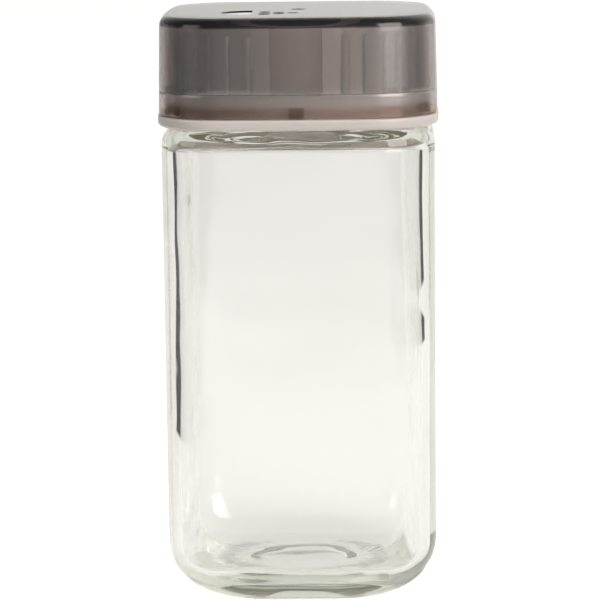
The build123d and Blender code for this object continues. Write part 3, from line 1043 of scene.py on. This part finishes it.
class SPICE_OT_stage(bpy.types.Operator):
    """Build the floor, the studio lights and the camera"""

    bl_idname = "spice.stage"
    bl_label = "Stage"

    def execute(self, context):
        settings = context.scene.spice_stage
        self.lay_floor(settings)
        self.light_room(context.scene, settings)
        self.hang_softboxes(settings)
        self.place_camera(context.scene, settings)
        context.scene.view_settings.view_transform = "Standard"
        return {"FINISHED"}

    def lay_floor(self, settings):
        """White floor that keeps the jar's shadow, reads as white where it is clear, and can be
        looked through from below."""
        half, glow = 3.0, 0.56
        mesh = bmesh.new()
        bmesh.ops.create_grid(mesh, x_segments=1, y_segments=1, size=half)
        floor = new_piece("studio_floor", mesh)
        material, tree, shader, output = new_material("studio_floor")
        path = put_node(tree, "ShaderNodeLightPath").outputs
        paper = self.paper_strip(tree, settings)
        tone = put_node(tree, "ShaderNodeMix", data_type="RGBA")
        set_inputs(tree, tone, {
            "Factor": larger(tree, paper, path["Is Camera Ray"]),
            "A": (*(share * settings.room for share in settings.floor), 1.0),
            "B": (*settings.floor, 1.0),
        })
        set_inputs(tree, shader, {
            "Base Color": tone.outputs["Result"], "Roughness": 0.9, "Specular IOR Level": 0.0})
        bent = larger(tree, path["Is Transmission Ray"], path["Is Glossy Ray"])
        through = product(tree, bent, settings.through, paper, self.shade_below(tree))
        seen = larger(tree, path["Is Camera Ray"], through)
        light = put_node(tree, "ShaderNodeEmission", {
            "Color": (*settings.paper, 1.0), "Strength": product(tree, seen, glow)})
        total = put_node(tree, "ShaderNodeAddShader", {0: shader.outputs["BSDF"], 1: light.outputs[0]})
        sided = put_node(tree, "ShaderNodeMixShader", {
            0: put_node(tree, "ShaderNodeNewGeometry").outputs["Backfacing"],
            1: total.outputs[0],
            2: put_node(tree, "ShaderNodeBsdfTransparent").outputs[0],
        })
        set_inputs(tree, output, {"Surface": sided.outputs[0]})
        floor.data.materials.append(material)

    def shade_below(self, tree):
        """Share of the paper's brightness that is left where the jar keeps the light off it."""
        inner, outer, least = 0.016, 0.05, 0.8
        away = put_node(tree, "ShaderNodeVectorMath", {0: object_place(tree)}, operation="LENGTH")
        return fade(tree, away.outputs["Value"], inner, outer, least, 1.0)

    def paper_strip(self, tree, settings):
        """Share of the paper's white: 1 round and behind the jar, less in front of it, and 0 in the
        darker room on both sides."""
        soft = 0.015
        front_start, front_end, front_level = -0.35, -0.1, 0.4
        place = split_place(tree, object_place(tree))
        slant = product(tree, place["Y"], settings.paper_slant)
        strip = fade(tree, place["Y"], front_start, front_end, front_level, 1.0)
        for way, reach in ((-1.0, settings.paper_left), (1.0, settings.paper_right)):
            out = product(tree, place["X"], way)
            near = fade(tree, out, reach - soft, reach + soft, 1.0, 0.0)
            past = reckon(tree, "SUBTRACT", out, slant)
            strip = product(tree, strip, larger(tree, near, fade(tree, past, -soft, soft, 1.0, 0.0)))
        return strip

    def light_room(self, scene, settings):
        """White surroundings: full white to the eye, softer as light. The glass and the dial show
        them bright behind the jar and darker in front of it and to its left."""
        dim, back_level, right_level = 0.3, 0.95, 1.05
        back, left, right = 0.7, -0.9, 0.45
        world = bpy.data.worlds.new("white_room")
        world.use_nodes = True
        tree = world.node_tree
        tree.nodes.clear()
        path = put_node(tree, "ShaderNodeLightPath").outputs
        towards = split_place(tree, put_node(tree, "ShaderNodeTexCoord").outputs["Generated"])
        behind = fade(tree, towards["Y"], 0.0, back, dim, back_level)
        beside = fade(tree, towards["X"], left, right, dim, right_level)
        level = put_node(tree, "ShaderNodeMix", {
            "Factor": larger(tree, path["Is Transmission Ray"], path["Is Glossy Ray"]),
            "A": settings.surround,
            "B": product(tree, behind, beside),
        }, data_type="FLOAT")
        seen = larger(tree, level.outputs["Result"], path["Is Camera Ray"])
        light = put_node(tree, "ShaderNodeBackground", {"Color": (*settings.paper, 1.0), "Strength": seen})
        put_node(tree, "ShaderNodeOutputWorld", {"Surface": light.outputs[0]})
        scene.world = world

    def hang_softboxes(self, settings):
        """A broad key light to the right of the camera and a weak one to the left."""
        aim = Vector((0, 0, 0.05))
        for name, side, rise, size, level in (
            ("key_softbox", settings.key_side, settings.key_rise, 2.2, settings.key_level),
            ("fill_softbox", settings.fill_side, settings.fill_rise, 1.6, settings.fill_level),
        ):
            away = Vector((math.sin(side) * math.cos(rise), -math.cos(side) * math.cos(rise), math.sin(rise)))
            light = bpy.data.lights.new(name, "AREA")
            light.shape = "SQUARE"
            light.size = size
            light.color = settings.warmth
            light.energy = level * (math.pi * settings.light_distance) ** 2
            lamp = bpy.data.objects.new(name, light)
            bpy.context.collection.objects.link(lamp)
            lamp.location = aim + away * settings.light_distance
            lamp.rotation_euler = away.to_track_quat("Z", "Y").to_euler()

    def place_camera(self, scene, settings):
        """Camera at the photograph's viewing angle."""
        data = bpy.data.cameras.new("photo_camera")
        data.lens = settings.lens
        data.sensor_width = 36.0
        data.clip_start = 0.01
        camera = bpy.data.objects.new("photo_camera", data)
        bpy.context.collection.objects.link(camera)
        yaw, pitch, roll = settings.yaw, settings.pitch, settings.roll
        level = Vector((math.sin(yaw), math.cos(yaw), 0))
        ahead = level * math.cos(pitch) - Vector((0, 0, math.sin(pitch)))
        right = Vector((math.cos(yaw), -math.sin(yaw), 0))
        up = right.cross(ahead)
        rolled_right = right * math.cos(roll) + up * math.sin(roll)
        rolled_up = up * math.cos(roll) - right * math.sin(roll)
        axes = Matrix((rolled_right, rolled_up, -ahead)).transposed().to_4x4()
        spot = Matrix.Translation((0, -settings.distance, settings.height))
        camera.matrix_world = Matrix.Rotation(settings.turn, 4, "Z") @ spot @ axes
        scene.camera = camera


class SPICE_PT_panel(bpy.types.Panel):
    """Lists the operators that build the jar"""

    bl_idname = "SPICE_PT_panel"
    bl_label = "Spice Jar"
    bl_space_type = "VIEW_3D"
    bl_region_type = "UI"
    bl_category = "Spice Jar"

    def draw(self, context):
        for operator in OPERATORS:
            self.layout.operator(operator.bl_idname)


GROUPS = {"spice_glass": SPICE_PG_glass, "spice_closure": SPICE_PG_closure, "spice_stage": SPICE_PG_stage}
OPERATORS = (
    SPICE_OT_stage, SPICE_OT_glass_jar, SPICE_OT_seal_liner, SPICE_OT_shaker_base, SPICE_OT_dial_cap,
)


def register():
    for cls in (*GROUPS.values(), *OPERATORS, SPICE_PT_panel):
        bpy.utils.register_class(cls)
    for name, group in GROUPS.items():
        setattr(bpy.types.Scene, name, PointerProperty(type=group))


def unregister():
    for name in GROUPS:
        delattr(bpy.types.Scene, name)
    for cls in reversed((*GROUPS.values(), *OPERATORS, SPICE_PT_panel)):
        bpy.utils.unregister_class(cls)


def main():
    register()
    bpy.ops.spice.stage()
    bpy.ops.spice.glass_jar()
    bpy.ops.spice.seal_liner()
    bpy.ops.spice.shaker_base()
    bpy.ops.spice.dial_cap()


if __name__ == "__main__":
    main()
